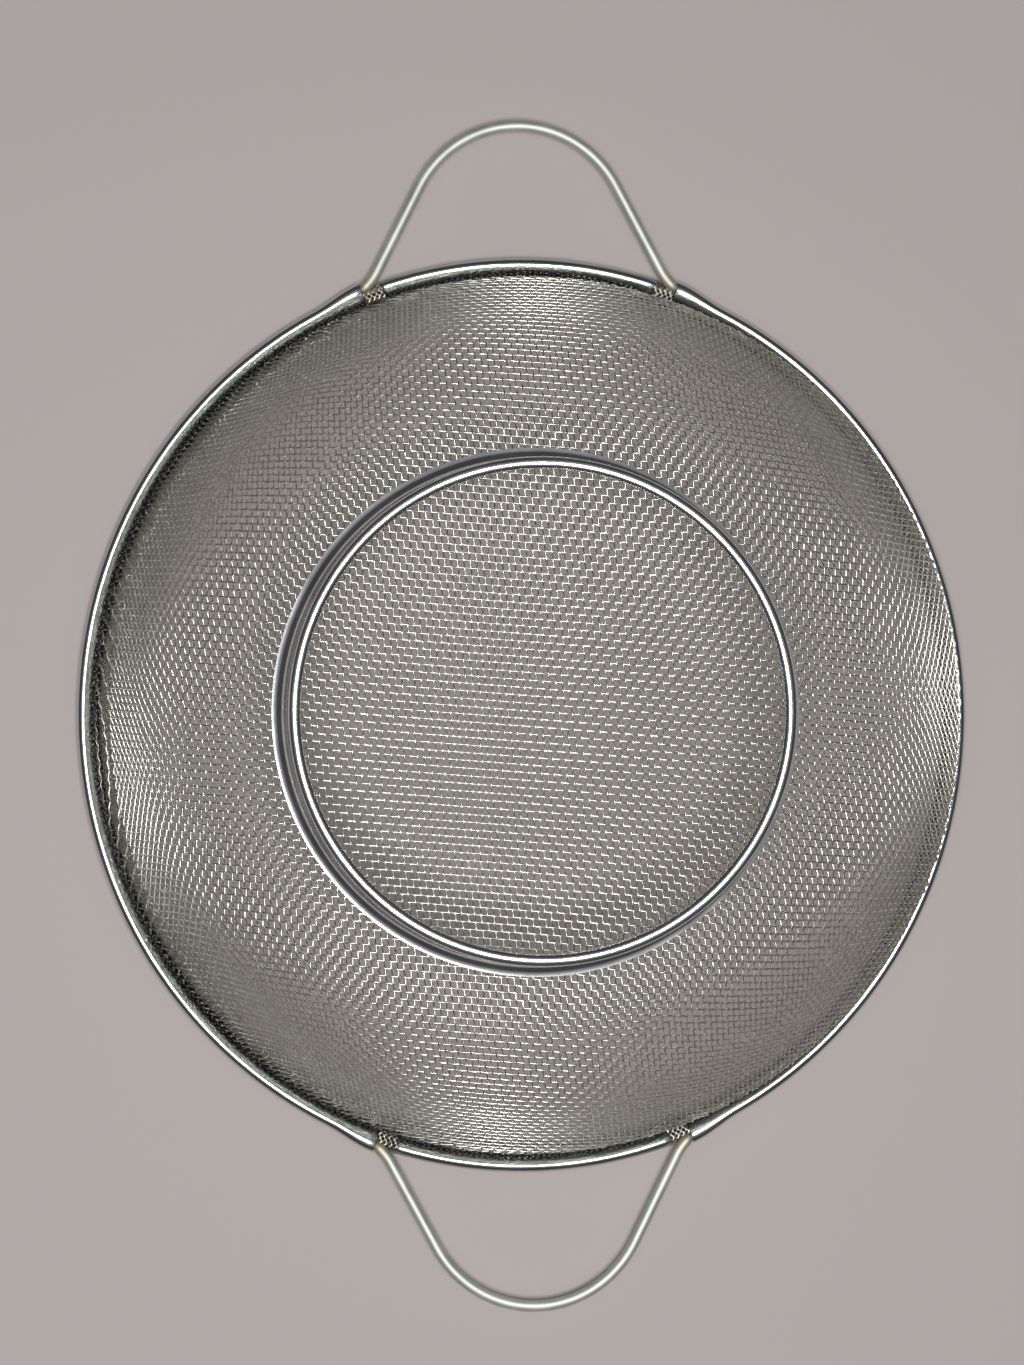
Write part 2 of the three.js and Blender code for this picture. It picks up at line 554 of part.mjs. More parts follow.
// The wall is tangent to the bead and to the flare, which lie on opposite sides of it
const toFlare = flareCentre.clone().sub(beadCentre);
const wallTurn = toFlare.angle() - 2 * Math.PI - Math.asin((beadMiddle + FOOT_FLARE) / toFlare.length());
const wallLean = THREE.MathUtils.radToDeg(wallTurn) + 90;
const footLine = arcPoints(flareCentre, FOOT_FLARE, 270 - CROWN_SLOPE, 180 + wallLean, SIDES_FLARE);
const beadStep = 360 / SIDES_BEAD;
footLine.push(new THREE.Vector2(
  beadCentre.x + beadMiddle * Math.cos(rad(wallLean)), beadCentre.y + beadMiddle * Math.sin(rad(wallLean))));
for (let angle = 90 - 1.5 * beadStep; angle <= 90 + 5.5 * beadStep; angle += beadStep) {
  if (angle > wallLean + beadStep / 4) footLine.push(onSection(beadCentre, beadMiddle, angle, SIDES_BEAD));
}
addPiece('foot_ring', revolve(sheetOutline(footLine, FOOT_SHEET)), polishedSteel);

export default colander;
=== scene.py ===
import math
import random

import bmesh
import bpy
import numpy as np
from mathutils import Matrix, Vector


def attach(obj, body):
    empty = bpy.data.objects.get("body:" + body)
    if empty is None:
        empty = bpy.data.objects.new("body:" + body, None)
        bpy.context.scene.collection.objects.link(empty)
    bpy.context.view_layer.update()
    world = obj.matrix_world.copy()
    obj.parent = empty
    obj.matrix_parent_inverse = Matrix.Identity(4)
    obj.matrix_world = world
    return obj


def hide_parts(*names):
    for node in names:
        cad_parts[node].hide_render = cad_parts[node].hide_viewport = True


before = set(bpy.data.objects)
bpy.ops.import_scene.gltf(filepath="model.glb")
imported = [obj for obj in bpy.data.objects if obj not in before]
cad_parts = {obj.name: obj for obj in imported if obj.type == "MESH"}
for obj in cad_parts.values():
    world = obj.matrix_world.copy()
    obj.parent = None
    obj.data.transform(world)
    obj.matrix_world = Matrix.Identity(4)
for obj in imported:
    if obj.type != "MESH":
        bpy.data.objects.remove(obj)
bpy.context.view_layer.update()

# Camera: above the upturned bowl and a little to the left of its axis, so that the foot ring stands
# off-centre in the rim, with one handle at the top of the picture and one at the bottom.
eye = Vector((-0.06826, -0.01018, 0.92735))
aim = Vector((-0.0052, 0.0079, 0.030))
towards_eye = (eye - aim).normalized()
to_the_right = Vector((0, 1, 0)).cross(towards_eye).normalized()
to_the_top = towards_eye.cross(to_the_right)
bpy.ops.object.select_all(action="DESELECT")
bpy.ops.object.camera_add()
camera = bpy.context.object
camera.matrix_world = Matrix.LocRotScale(
    eye, Matrix((to_the_right, to_the_top, towards_eye)).transposed(), None)
camera.data.sensor_width = 36
camera.data.lens = 91.65
bpy.context.scene.camera = camera


# Rim wire: a hoop of 2.4 mm stainless wire, closed by a butt weld. The cloth's edge is folded round it,
# so only glimpses of it show between the wires of the hem.
class Finish:
    """A socket of a metal's finish, with the arithmetic of its values."""

    def __init__(self, tree, socket=None):
        self.tree = tree
        self.socket = socket

    def node(self, kind, settings, inputs, output=0):
        made = self.tree.nodes.new("ShaderNode" + kind)
        for name, value in settings.items():
            if name == "stops":
                stops = made.color_ramp.elements
                while len(stops) < len(value):
                    stops.new(1.0)
                for stop, (position, colour) in zip(stops, value):
                    stop.position = position
                    stop.color = (*colour, 1.0)
            else:
                setattr(made, name, value)
        for name, value in inputs.items():
            if isinstance(value, Finish):
                self.tree.links.new(value.socket, made.inputs[name])
            else:
                made.inputs[name].default_value = value
        return Finish(self.tree, made.outputs[output])

    def math(self, operation, first, second=0.0):
        return self.node("Math", {"operation": operation}, {0: first, 1: second})

    def __add__(self, other):
        return self.math("ADD", self, other)

    __radd__ = __add__

    def __mul__(self, other):
        return self.math("MULTIPLY", self, other)

    __rmul__ = __mul__


def bare_metal(name):
    material = bpy.data.materials.new(name)
    material.use_nodes = True
    shader = material.node_tree.nodes["Principled BSDF"]
    shader.inputs["Metallic"].default_value = 1.0
    return material, Finish(material.node_tree), shader


def feed(shader, **sockets):
    for name, value in sockets.items():
        shader.id_data.links.new(value.socket, shader.inputs[name.replace("_", " ")])


hoop_steel_painted_dark, hoop, shader = bare_metal("hoop_wire")
# Painted shade: the rim wire's colour is a dark brown, so that the glimpses of it between the hem's wires
# read as shade.
shader.inputs["Base Color"].default_value = (0.2, 0.17, 0.14, 1.0)
place = hoop.node("TexCoord", {}, {}, "Object")
mottle = hoop.node("TexNoise", {}, {"Vector": place, "Scale": 900.0, "Detail": 3.0})
feed(shader, Roughness=0.22 + 0.16 * mottle)
rim_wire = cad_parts["rim_wire"]
rim_wire.data.materials.clear()
rim_wire.data.materials.append(hoop_steel_painted_dark)


# Wire cloth: 0.45 mm stainless wire in plain weave, about 13 by 16 wires to the inch, pressed cold into a
# bowl. The wires keep their length and turn at the crossings, so the square cells shear into diamonds on
# the diagonals of the wall. At the rim the cloth runs down as a collar beside the bands, where the wires'
# colour is painted near black below 6 mm, fading out by 9 mm high, as painted shade for the crevice.
mm = 0.001
pitch_along_warp, pitch_along_weft = 1.63, 1.97
warp_heading, weft_heading = math.radians(-4.3), math.radians(97)
wire_radius, crimp, uneven_crimp = 0.22, {"warp": 0.1, "weft": 0.28}, 0.03
pole_height = 57.21
centre, knee, belly, wall = (66.473, 1 / 423.18), (21.435, 1 / 64.64), (25.613, 1 / 44.470), (18.18, 0)
turn_down, collar, toe = (5.62, 1 / 14), (3.419, 0), (1.2, -1 / 1.8)
section = [centre, knee, belly, wall, turn_down, collar, toe]
cloth_end = sum(length for length, _ in section)
rim_radius, rim_stretch, round_above = 120, 1.75, 52
wall_shift, collar_top, shifted_above, centred_above = 4.4, 6.5, 10, 46


def eased(share):
    within = np.clip(share, 0, 1)
    return within * within * (3 - 2 * within)


def out_of_round(places):
    """The rim is a little longer along the handles than across them, and the foot is round."""
    share = np.clip(1 - places[:, 2] / (round_above * mm), 0, 1) * rim_stretch / rim_radius
    return places * np.stack([1 - share, 1 + share, np.ones_like(share)], 1)


def off_centre(places):
    """The wall stands a little off-centre in the rim, and the collar and the foot do not."""
    from_collar = eased((places[:, 2] / mm - collar_top) / (shifted_above - collar_top))
    from_foot = np.clip(1 - places[:, 2] / (centred_above * mm), 0, 1)
    shift = wall_shift * mm * from_collar * from_foot
    return places + np.stack([shift, 0 * shift, 0 * shift], 1)


def on_section(distance):
    """Radius, height and slope of the cloth at a distance along its section from the middle."""
    r, z, slope = 0.0, pole_height, 0.0
    for length, curve in section:
        run = min(distance, length)
        turned = slope + run * curve
        if curve:
            r += (math.sin(turned) - math.sin(slope)) / curve
            z += (math.cos(turned) - math.cos(slope)) / curve
        else:
            r += run * math.cos(slope)
            z -= run * math.sin(slope)
        slope = turned
        distance -= run
        if distance <= 0:
            break
    return r, z, slope


def on_cloth(distance, angle):
    r, z, slope = on_section(distance)
    return (r * math.cos(angle), r * math.sin(angle), z, r, slope)


def next_crossing(beside_warp, beside_weft, corner, tries=30, longest_step=0.6):
    """The place one pitch from each of two crossings, across from a third."""
    (x1, y1, z1), (x2, y2, z2) = beside_warp[2][:3], beside_weft[2][:3]
    angle = math.atan2(y1 + y2 - corner[2][1], x1 + x2 - corner[2][0])
    distance = max(beside_warp[0], beside_weft[0])
    for _ in range(tries):
        x, y, z, r, slope = on_cloth(distance, angle)
        out_x, out_y = math.cos(slope) * math.cos(angle), math.cos(slope) * math.sin(angle)
        out_z = -math.sin(slope)
        round_x, round_y = -y, x
        error_1 = (x - x1) ** 2 + (y - y1) ** 2 + (z - z1) ** 2 - pitch_along_warp ** 2
        error_2 = (x - x2) ** 2 + (y - y2) ** 2 + (z - z2) ** 2 - pitch_along_weft ** 2
        if abs(error_1) + abs(error_2) < 1e-7:
            return distance, angle, (x, y, z, r, slope)
        a = 2 * ((x - x1) * out_x + (y - y1) * out_y + (z - z1) * out_z)
        b = 2 * ((x - x1) * round_x + (y - y1) * round_y)
        c = 2 * ((x - x2) * out_x + (y - y2) * out_y + (z - z2) * out_z)
        d = 2 * ((x - x2) * round_x + (y - y2) * round_y)
        whole = a * d - b * c
        if abs(whole) < 1e-12:
            return None
        step, turn = (error_1 * d - error_2 * b) / whole, (error_2 * a - error_1 * c) / whole
        limit = max(1.0, math.hypot(step, turn * r) / longest_step)
        distance -= step / limit
        angle -= turn / limit
    return None


def drape_cloth():
    """Every crossing of the cloth, from the two wires through the middle out to the rim."""
    crossings = {}
    across_count = int(cloth_end / pitch_along_warp) + 2
    along_count = int(cloth_end / pitch_along_weft) + 2
    for i in range(-across_count, across_count + 1):
        distance, angle = abs(i) * pitch_along_warp, warp_heading + (math.pi if i < 0 else 0)
        crossings[i, 0] = (distance, angle, on_cloth(distance, angle))
    for j in range(-along_count, along_count + 1):
        distance, angle = abs(j) * pitch_along_weft, weft_heading + (math.pi if j < 0 else 0)
        crossings[0, j] = (distance, angle, on_cloth(distance, angle))
    for sign_i, sign_j in ((1, 1), (-1, 1), (-1, -1), (1, -1)):
        for m in range(1, across_count + 1):
            for n in range(1, along_count + 1):
                i, j = m * sign_i, n * sign_j
                keys = ((i - sign_i, j), (i, j - sign_j), (i - sign_i, j - sign_j))
                beside = [crossings.get(key) for key in keys]
                if None in beside or min(beside[0][0], beside[1][0]) > cloth_end:
                    continue
                found = next_crossing(*beside)
                if found:
                    crossings[i, j] = found
    return crossings


shown = {key: crossing for key, crossing in drape_cloth().items() if crossing[0] < cloth_end}


def wire_lines(set_of_wires, fewest_crossings=3):
    """The bent middle line of each wire of one set, with three points to a pitch."""
    along = 0 if set_of_wires == "warp" else 1
    over = 1 if set_of_wires == "warp" else -1
    runs = {}
    for key in sorted(shown, key=lambda key: key[along]):
        wire = runs.setdefault(key[1 - along], [[]])
        if wire[-1] and wire[-1][-1][along] != key[along] - 1:
            wire.append([])
        wire[-1].append(key)
    for number in sorted(runs):
        slack = 1 + uneven_crimp * random.uniform(-1, 1)
        for keys in runs[number]:
            if len(keys) < fewest_crossings:
                continue
            found = [shown[key] for key in keys]
            points = np.array([crossing[2][:3] for crossing in found])
            slopes = np.array([crossing[2][4] for crossing in found])
            angles = np.array([crossing[1] for crossing in found])
            level = np.sin(slopes)
            normals = np.stack([level * np.cos(angles), level * np.sin(angles), np.cos(slopes)], 1)
            sides = np.array([over * (1 if (i + j) % 2 == 0 else -1) for i, j in keys])
            ends = np.vstack([2 * points[0] - points[1], points, 2 * points[-1] - points[-2]])
            p, q, s, u = ends[:-3], ends[1:-2], ends[2:-1], ends[3:]
            rows = []
            for t in (0, 1 / 3, 2 / 3):
                middle = 0.5 * (2 * q + (s - p) * t + (2 * p - 5 * q + 4 * s - u) * t ** 2
                                + (3 * q - p - 3 * s + u) * t ** 3)
                normal = normals[:-1] * (1 - t) + normals[1:] * t
                bent = crimp[set_of_wires] * slack * sides[:-1] * math.cos(math.pi * t)
                rows.append(middle + normal * bent[:, None])
            yield out_of_round(off_centre(np.stack(rows, 1).reshape(-1, 3) * mm))


cloth_steel, weave, shader = bare_metal("cloth_wire")
place = weave.node("TexCoord", {}, {}, "Object")
tint = weave.node("TexNoise", {}, {"Vector": place, "Scale": 300.0, "Detail": 2.0})
drawn_tones = [(0.3, (0.63, 0.63, 0.57)), (0.7, (0.75, 0.75, 0.69))]
tone = weave.node("ValToRGB", {"stops": drawn_tones}, {"Fac": tint})
height = weave.node("SeparateXYZ", {}, {"Vector": place}, "Z")
# Painted shade: below 6 mm high the wires' colour is painted near black, fading into their own tone by 9
# mm, for the shaded crevice beside the bands.
painted_shade_fade = weave.node("MapRange", {"interpolation_type": "SMOOTHSTEP"},
                   {"Value": height, "From Min": 0.006, "From Max": 0.009, "To Min": 0.03, "To Max": 1.0})
painted_crevice_shade = (0.03, 0.028, 0.026, 1)
grain = weave.node("TexNoise", {}, {"Vector": place, "Scale": 1500.0, "Detail": 2.0})
feed(shader, Base_Color=weave.node("Mix", {"data_type": "RGBA"}, {0: painted_shade_fade, 6: painted_crevice_shade, 7: tone}, 2),
     Roughness=0.25 + 0.1 * grain)


def lay_wires(name, lines, steel):
    """One mesh of round wires along lines of points."""
    curve = bpy.data.curves.new(name, "CURVE")
    curve.dimensions = "3D"
    curve.bevel_depth = wire_radius * mm
    curve.bevel_resolution = 1
    curve.use_fill_caps = True
    for line in lines:
        spline = curve.splines.new("POLY")
        spline.points.add(len(line) - 1)
        spline.points.foreach_set("co", np.hstack([line, np.ones((len(line), 1))]).ravel())
    wires = bpy.data.objects.new(name, curve)
    bpy.context.collection.objects.link(wires)
    bpy.ops.object.select_all(action="DESELECT")
    wires.select_set(True)
    bpy.context.view_layer.objects.active = wires
    bpy.ops.object.convert(target="MESH")
    wires = bpy.context.object
    wires.data.materials.clear()
    wires.data.materials.append(steel)
    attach(wires, "root")
    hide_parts("mesh_bowl")


random.seed(5)
most_triangles, triangles_per_point = 185000, 12
for set_of_wires in ("warp", "weft"):
    parcels, points = [[]], 0
    for line in wire_lines(set_of_wires):
        if points + len(line) > most_triangles // triangles_per_point:
            parcels.append([])
            points = 0
        parcels[-1].append(line)
        points += len(line)
    for number, parcel in enumerate(parcels, 1):
        lay_wires(f"{set_of_wires}_wires_{number}", parcel, cloth_steel)

# Folded hem: the cloth's edge, rolled round the rim wire and turned back up inside the wall, where it lies
# on the bias and doubles the cloth to a collar, darkened near the bands by the painted shade in the cloth's
# colour. In the four gaps between the bands the roll shows, packed tight and tinted straw, brown and blue
# by the welding of the handle legs.
hem_pitch, bias = 1.45, 0.9
collar_wires, collar_radius, collar_depth, collar_wave = 500, 115, 0.7, 0.15
doubled = []
way_down = np.linspace(cloth_end - 9, cloth_end - 1, 8)
r, z, slope = np.array([on_section(distance) for distance in way_down]).T
run = way_down - way_down[0]
for slant in (1, -1):
    lift = slant * collar_wave * np.cos(2 * np.pi * bias * run / hem_pitch) - collar_depth
    reach = r + lift * np.sin(slope)
    for k in range(collar_wires):
        angle = 2 * math.pi * k / collar_wires + slant * bias * run / collar_radius
        line = np.stack([reach * np.cos(angle), reach * np.sin(angle), z + lift * np.cos(slope)], 1)
        doubled.append(out_of_round(off_centre(line * mm)))
lay_wires("hem_collar", doubled, cloth_steel)

hem_steel, hem, shader = bare_metal("hem_wire")
place = hem.node("TexCoord", {}, {}, "Object")
heat = hem.node("TexNoise", {}, {"Vector": place, "Scale": 330.0, "Detail": 2.0})
burnt = [(0.32, (0.36, 0.42, 0.47)), (0.4, (0.5, 0.42, 0.28)),
         (0.48, (0.64, 0.61, 0.52)), (0.6, (0.7, 0.7, 0.67))]
feed(shader, Base_Color=hem.node("ValToRGB", {"stops": burnt}, {"Fac": heat}),
     Roughness=0.22 + 0.16 * heat)

roll_circle, roll_height, roll_radius, roll_wave, half_gap = 117.5, 2.9, 2.5, 0.19, 3
bundles = []
around = np.linspace(math.radians(215), math.radians(-75), 36)
run = (math.radians(75) - around) * roll_radius
for gap in (71.3, 110.3, 251.7, 290.7):
    for slant in (1, -1):
        reach = roll_radius + slant * roll_wave * np.cos(2 * np.pi * bias * run / hem_pitch)
        r, z = roll_circle + reach * np.cos(around), roll_height + reach * np.sin(around)
        for k in range(-7, 8):
            along = k * hem_pitch + slant * bias * run
            angle = math.radians(gap) + along / roll_circle
            line = np.stack([r * np.cos(angle), r * np.sin(angle), z], 1)
            line = out_of_round(line * mm)[np.abs(along) < half_gap]
            if len(line) > 3:
                bundles.append(line)
lay_wires("hem_bundles", bundles, hem_steel)

# Rim bands: four lengths of 0.5 mm stainless strip, polished and rolled over the folded edge of the cloth.
# The top flange falls towards the cloth. The gaps between the lengths leave room for the handle legs, and
# the two long lengths widen outwards at their ends to take the legs in.
sheet_steel, sheet, shader = bare_metal("rim_sheet")
place = sheet.node("TexCoord", {}, {}, "Object")
east, north, height = (sheet.node("SeparateXYZ", {}, {"Vector": place}, axis) for axis in "XYZ")
radius = sheet.math("SQRT", east * east + north * north)
lathe = sheet.node("CombineXYZ", {}, {"X": radius * 9000, "Y": height * 9000, "Z": 0.0})
rolled_lines = sheet.node("TexNoise", {}, {"Vector": lathe, "Scale": 1.0, "Detail": 2.0})
smears = sheet.node("TexNoise", {}, {"Vector": place, "Scale": 60.0, "Detail": 4.0, "Distortion": 0.6})
rolled_tones = [(0.3, (0.53, 0.54, 0.54)), (0.7, (0.66, 0.67, 0.68))]
feed(shader, Roughness=0.12 + 0.06 * rolled_lines + 0.12 * smears * smears,
     Normal=sheet.node("Bump", {}, {"Height": rolled_lines, "Strength": 0.06, "Distance": 0.0001}),
     Base_Color=sheet.node("ValToRGB", {"stops": rolled_tones}, {"Fac": smears}))


def pick(test):
    """Selects the points whose place passes a test, in edit mode."""
    mesh = bmesh.from_edit_mesh(bpy.context.object.data)
    for point in mesh.verts:
        point.select = bool(test(point.co / mm))
    mesh.select_flush_mode()
    bmesh.update_edit_mesh(bpy.context.object.data)


def apply_all(piece):
    for modifier in list(piece.modifiers):
        bpy.ops.object.modifier_apply(modifier=modifier.name)


def reshape(piece, change):
    places = np.empty(len(piece.data.vertices) * 3)
    piece.data.vertices.foreach_get("co", places)
    piece.data.vertices.foreach_set("co", change(places.reshape(-1, 3)).ravel())
    piece.data.update()


rim_circle, rim_width, rim_top = 117.1, 5.8, 6.689
inner_side, outer_side, top_side = 115, 119, 5
ridge, ridge_round, shoulder_round, foot_round = 117.862, 0.538, 1.6, 1.2
flange_in, flange_fall = 1.5, 0.36
bell_run, band_step = 6.68, 0.9
for name, start, end, bell in (("back", 72.73, 108.87, 0), ("left", 111.73, 250.27, 1.6),
                               ("front", 253.13, 289.27, 0), ("right", 292.13, 429.87, 1.6)):
    bpy.ops.object.select_all(action="DESELECT")
    bpy.ops.mesh.primitive_plane_add(size=rim_width * mm, rotation=(math.pi / 2, 0, 0),
                                     location=(rim_circle * mm, 0, rim_width / 2 * mm))
    bpy.ops.object.transform_apply(location=True, rotation=True, scale=True)
    band = bpy.context.object
    band.name = "polished_band_" + name
    bpy.ops.object.mode_set(mode="EDIT")
    pick(lambda point: point.x < inner_side)
    bpy.ops.mesh.subdivide(number_cuts=1)
    pick(lambda point: point.z > top_side)
    bpy.ops.mesh.subdivide(number_cuts=1)
    pick(lambda point: point.x < inner_side and point.z > top_side)
    bpy.ops.transform.translate(value=(flange_in * mm, 0, -flange_fall * mm))
    pick(lambda point: point.x > rim_circle - 1 and point.z > top_side)
    bpy.ops.transform.translate(value=(0, 0, (rim_top - rim_width) * mm))
    pick(lambda point: abs(point.x - rim_circle) < 1 and point.z > top_side)
    bpy.ops.transform.translate(value=((ridge - rim_circle) * mm, 0, 0))
    pick(lambda point: point.x > outer_side and point.z > top_side)
    bpy.ops.mesh.bevel(affect="VERTICES", offset=shoulder_round * mm, segments=10)
    pick(lambda point: abs(point.x - ridge) < 0.01 and point.z > top_side)
    bpy.ops.mesh.bevel(affect="VERTICES", offset=ridge_round * mm, segments=6)
    pick(lambda point: point.z < 0.1)
    bpy.ops.mesh.bevel(affect="VERTICES", offset=foot_round * mm, segments=6)
    bpy.ops.mesh.select_all(action="SELECT")
    bpy.ops.mesh.remove_doubles(threshold=0.01 * mm)
    bpy.ops.mesh.select_all(action="SELECT")
    bpy.ops.mesh.delete(type="ONLY_FACE")
    # The section is open on its inner side, from the edge of the flange down to its half height.
    bpy.ops.mesh.select_mode(type="EDGE")
    pick(lambda point: point.x < 115.75 and point.z > 2.8)
    bpy.ops.mesh.delete(type="EDGE")
    bpy.ops.mesh.select_mode(type="VERT")
    bpy.ops.mesh.select_all(action="SELECT")
    bpy.ops.mesh.spin(steps=round((end - start) / band_step), angle=-math.radians(end - start),
                      center=(0, 0, 0), axis=(0, 0, 1))
    bpy.ops.mesh.select_all(action="SELECT")
    bpy.ops.mesh.normals_make_consistent(inside=False)
    bpy.ops.object.mode_set(mode="OBJECT")

    def roll_out(places):
        angles = np.degrees(np.arctan2(places[:, 1], places[:, 0])) % 360
        radii = np.hypot(places[:, 0], places[:, 1])
        near = eased(np.minimum(angles, end - start - angles) / bell_run)
        outwards = (radii / mm - rim_circle) / rim_width + 0.5
        widened = radii + bell * mm * (1 - near) * outwards
        turned = np.radians(angles + start)
        rolled = np.stack([widened * np.cos(turned), widened * np.sin(turned), places[:, 2]], 1)
        return out_of_round(rolled)

    reshape(band, roll_out)
    thickness = band.modifiers.new("thickness", "SOLIDIFY")
    thickness.thickness = 0.5 * mm
    thickness.offset = -1
    edges = band.modifiers.new("edges", "BEVEL")
    edges.width = 0.12 * mm
    edges.segments = 2
    edges.angle_limit = math.radians(60)
    apply_all(band)
    bpy.ops.object.shade_smooth_by_angle(angle=math.radians(40))
    band.data.materials.append(sheet_steel)
    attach(band, "root")
    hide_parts("rim_band_" + name)

# Handles: 3 mm drawn stainless wire bent to a round arch on two straight legs. Each leg turns outwards at
# the rim and is welded to the folded cloth in its gap between two bands, where the heat has tinted it.
wire_steel, drawn, shader = bare_metal("handle_wire")
along_wire = drawn.node("Attribute", {"attribute_name": "along_wire"}, {}, "Vector")
die_lines = drawn.node("TexNoise", {}, {"Vector": along_wire, "Scale": 7.0, "Detail": 3.0})
place = drawn.node("TexCoord", {}, {}, "Object")
clouds = drawn.node("TexNoise", {}, {"Vector": place, "Scale": 130.0, "Detail": 3.0})
heat = drawn.node("SeparateXYZ", {}, {"Vector": along_wire}, "Z")
tinted = drawn.node("MapRange", {"interpolation_type": "SMOOTHSTEP"},
                    {"Value": heat, "From Min": 0.0, "From Max": 0.22, "To Min": 0.7, "To Max": 0.0})
bare_tones = [(0.3, (0.56, 0.575, 0.53)), (0.7, (0.69, 0.705, 0.66))]
bare = drawn.node("ValToRGB", {"stops": bare_tones}, {"Fac": clouds})
straw_tones = [(0.0, (0.42, 0.37, 0.24)), (0.4, (0.6, 0.55, 0.38)), (1.0, (0.64, 0.63, 0.54))]
straw = drawn.node("ValToRGB", {"stops": straw_tones}, {"Fac": heat * 3})
feed(shader, Base_Color=drawn.node("Mix", {"data_type": "RGBA"}, {0: tinted, 6: bare, 7: straw}, 2),
     Roughness=0.53 + 0.12 * die_lines + 0.06 * clouds,
     Normal=drawn.node("Bump", {}, {"Height": die_lines, "Strength": 0.15, "Distance": 0.0001}))

sides, bend_steps, arch_steps = 24, 8, 40
thick, thin_tip, wire_level = 1.5, 0.9, 5.407
leg, arch, apex, heat_run = 25.278, 30.146, 155, 40
leg_slope, turn_out = math.radians(62), math.radians(18)
tip_slope = leg_slope - turn_out
bend_x, bend_y = 52.611, 124.199
leg_end = Vector((41.497, 112.69, wire_level)) * mm
tip = Vector((math.cos(tip_slope), -math.sin(tip_slope), 0)) * 1.7 * mm
for name, heading, node in (("back", 90.8, "handle_back"), ("front", 271.2, "handle_front")):
    bpy.ops.object.select_all(action="DESELECT")
    bpy.ops.mesh.primitive_circle_add(vertices=sides, radius=thin_tip * mm, location=leg_end + tip,
                                      rotation=(math.pi / 2, 0, math.pi / 2 - tip_slope))
    bpy.ops.object.transform_apply(location=True, rotation=True, scale=True)
    handle = bpy.context.object
    handle.name = "wire_handle_" + name
    bpy.ops.object.mode_set(mode="EDIT")
    bpy.ops.mesh.select_all(action="SELECT")
    bpy.ops.mesh.extrude_region_move(TRANSFORM_OT_translate={"value": -tip})
    bpy.ops.transform.resize(value=(thick / thin_tip,) * 3, center_override=leg_end)
    for direction in (1, -1):
        bend = {"steps": bend_steps, "angle": turn_out, "axis": (0, 0, 1),
                "center": (direction * bend_x * mm, bend_y * mm, wire_level * mm)}
        leg_run = (-leg * math.cos(leg_slope) * mm, direction * leg * math.sin(leg_slope) * mm, 0)
        if direction > 0:
            bpy.ops.mesh.spin(**bend)
        bpy.ops.mesh.extrude_region_move(TRANSFORM_OT_translate={"value": leg_run})
        if direction > 0:
            bpy.ops.mesh.spin(steps=arch_steps, angle=-2 * leg_slope, axis=(0, 0, 1),
                              center=(0, (apex - arch) * mm, wire_level * mm))
        else:
            bpy.ops.mesh.spin(**bend)
    other_tip = Vector((-leg_end.x - tip.x, leg_end.y + tip.y, leg_end.z))
    bpy.ops.mesh.extrude_region_move(TRANSFORM_OT_translate={"value": (-tip.x, tip.y, 0)})
    bpy.ops.transform.resize(value=(thin_tip / thick,) * 3, center_override=other_tip)
    bpy.ops.object.mode_set(mode="OBJECT")
    count = len(handle.data.vertices) // sides
    rings = np.empty(len(handle.data.vertices) * 3)
    handle.data.vertices.foreach_get("co", rings)
    rings = rings.reshape(count, sides, 3)
    runs = np.linalg.norm(np.diff(rings.mean(1), axis=0), axis=1)
    from_start = np.concatenate([[0], np.cumsum(runs)])
    from_end = np.minimum(from_start, from_start[-1] - from_start) / mm / heat_run
    around = np.linspace(0, 2 * math.pi, sides, endpoint=False)
    lengthwise = np.stack([np.tile(np.cos(around), count), np.tile(np.sin(around), count),
                           np.repeat(from_end, sides)], 1)
    drawing = handle.data.attributes.new("along_wire", "FLOAT_VECTOR", "POINT")
    drawing.data.foreach_set("vector", lengthwise.ravel())
    bpy.ops.object.mode_set(mode="EDIT")
    bpy.ops.mesh.select_all(action="DESELECT")
    bpy.ops.mesh.select_mode(type="EDGE")
    bpy.ops.mesh.select_non_manifold()
    bpy.ops.mesh.fill_holes(sides=sides)
    bpy.ops.mesh.select_all(action="SELECT")
    bpy.ops.mesh.normals_make_consistent(inside=False)
    bpy.ops.mesh.select_mode(type="VERT")
    bpy.ops.object.mode_set(mode="OBJECT")
    handle.rotation_euler.z = math.radians(heading - 90)
    bpy.ops.object.transform_apply(location=False, rotation=True, scale=False)
    reshape(handle, out_of_round)
    edges = handle.modifiers.new("edges", "BEVEL")
    edges.width = 0.3 * mm
    edges.segments = 2
    edges.angle_limit = math.radians(60)
    apply_all(handle)
    bpy.ops.object.shade_smooth_by_angle(angle=math.radians(40))
    handle.data.materials.append(wire_steel)
    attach(handle, "root")
    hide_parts(node)

# Foot ring: a mirror-polished hoop of 0.6 mm stainless sheet, closed by a seam weld ground flush. Its base
# is flared out to lie on the cloth and spot welded to it, with a narrow lip, and its free edge is rolled
# inwards to a smooth bead, pressed a little flat.
mirror_steel, mirror, shader = bare_metal("foot_sheet")
place = mirror.node("TexCoord", {}, {}, "Object")
east, north, height = (mirror.node("SeparateXYZ", {}, {"Vector": place}, axis) for axis in "XYZ")
radius = mirror.math("SQRT", east * east + north * north)
lathe = mirror.node("CombineXYZ", {}, {"X": radius * 8000, "Y": height * 8000, "Z": 0.0})
spun_lines = mirror.node("TexNoise", {}, {"Vector": lathe, "Scale": 1.0, "Detail": 2.0})
smears = mirror.node("TexNoise", {}, {"Vector": place, "Scale": 70.0, "Detail": 4.0, "Distortion": 0.8})
mirror_tones = [(0.3, (0.62, 0.63, 0.64)), (0.7, (0.78, 0.79, 0.79))]
feed(shader, Roughness=0.13 + 0.04 * spun_lines + 0.1 * smears * smears,
     Normal=mirror.node("Bump", {}, {"Height": spun_lines, "Strength": 0.04, "Distance": 0.0001}),
     Base_Color=mirror.node("ValToRGB", {"stops": mirror_tones}, {"Fac": smears}))

